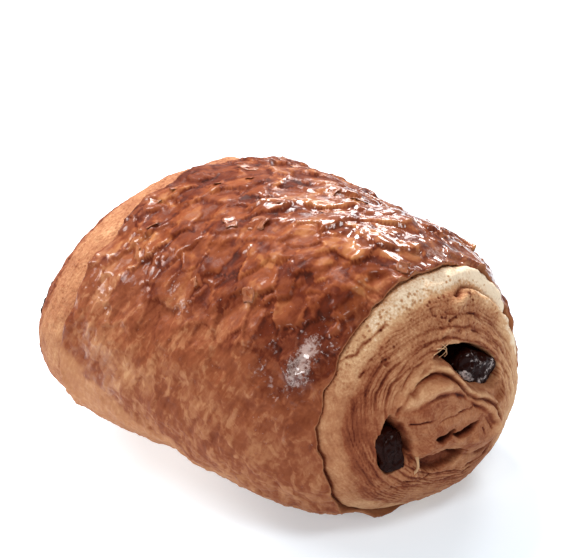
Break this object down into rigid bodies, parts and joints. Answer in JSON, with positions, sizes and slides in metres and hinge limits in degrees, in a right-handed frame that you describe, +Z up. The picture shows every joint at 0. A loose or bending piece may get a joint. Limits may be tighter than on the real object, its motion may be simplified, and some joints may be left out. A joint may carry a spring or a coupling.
{
  "type": "baked pain au chocolat",
  "caption": "Baked laminated pastry rolled round two chocolate sticks that show in hollows at its ends.",
  "frame": {"origin": "centre of the whole part's bounding box, at the flat base it rests on", "axes": "+X along the loaf towards the end whose roll bulges out most, +Y across it, +Z up"},
  "size_m": [0.1128, 0.096, 0.0664],
  "materials": {
    "pastry": "glossy egg-washed crust",
    "chocolate": "dusty satin"
  },
  "bodies": {
    "root": {"dough": "pastry", "chocolate_stick_upper": "chocolate", "chocolate_stick_lower": "chocolate"}
  },
  "joints": []
}
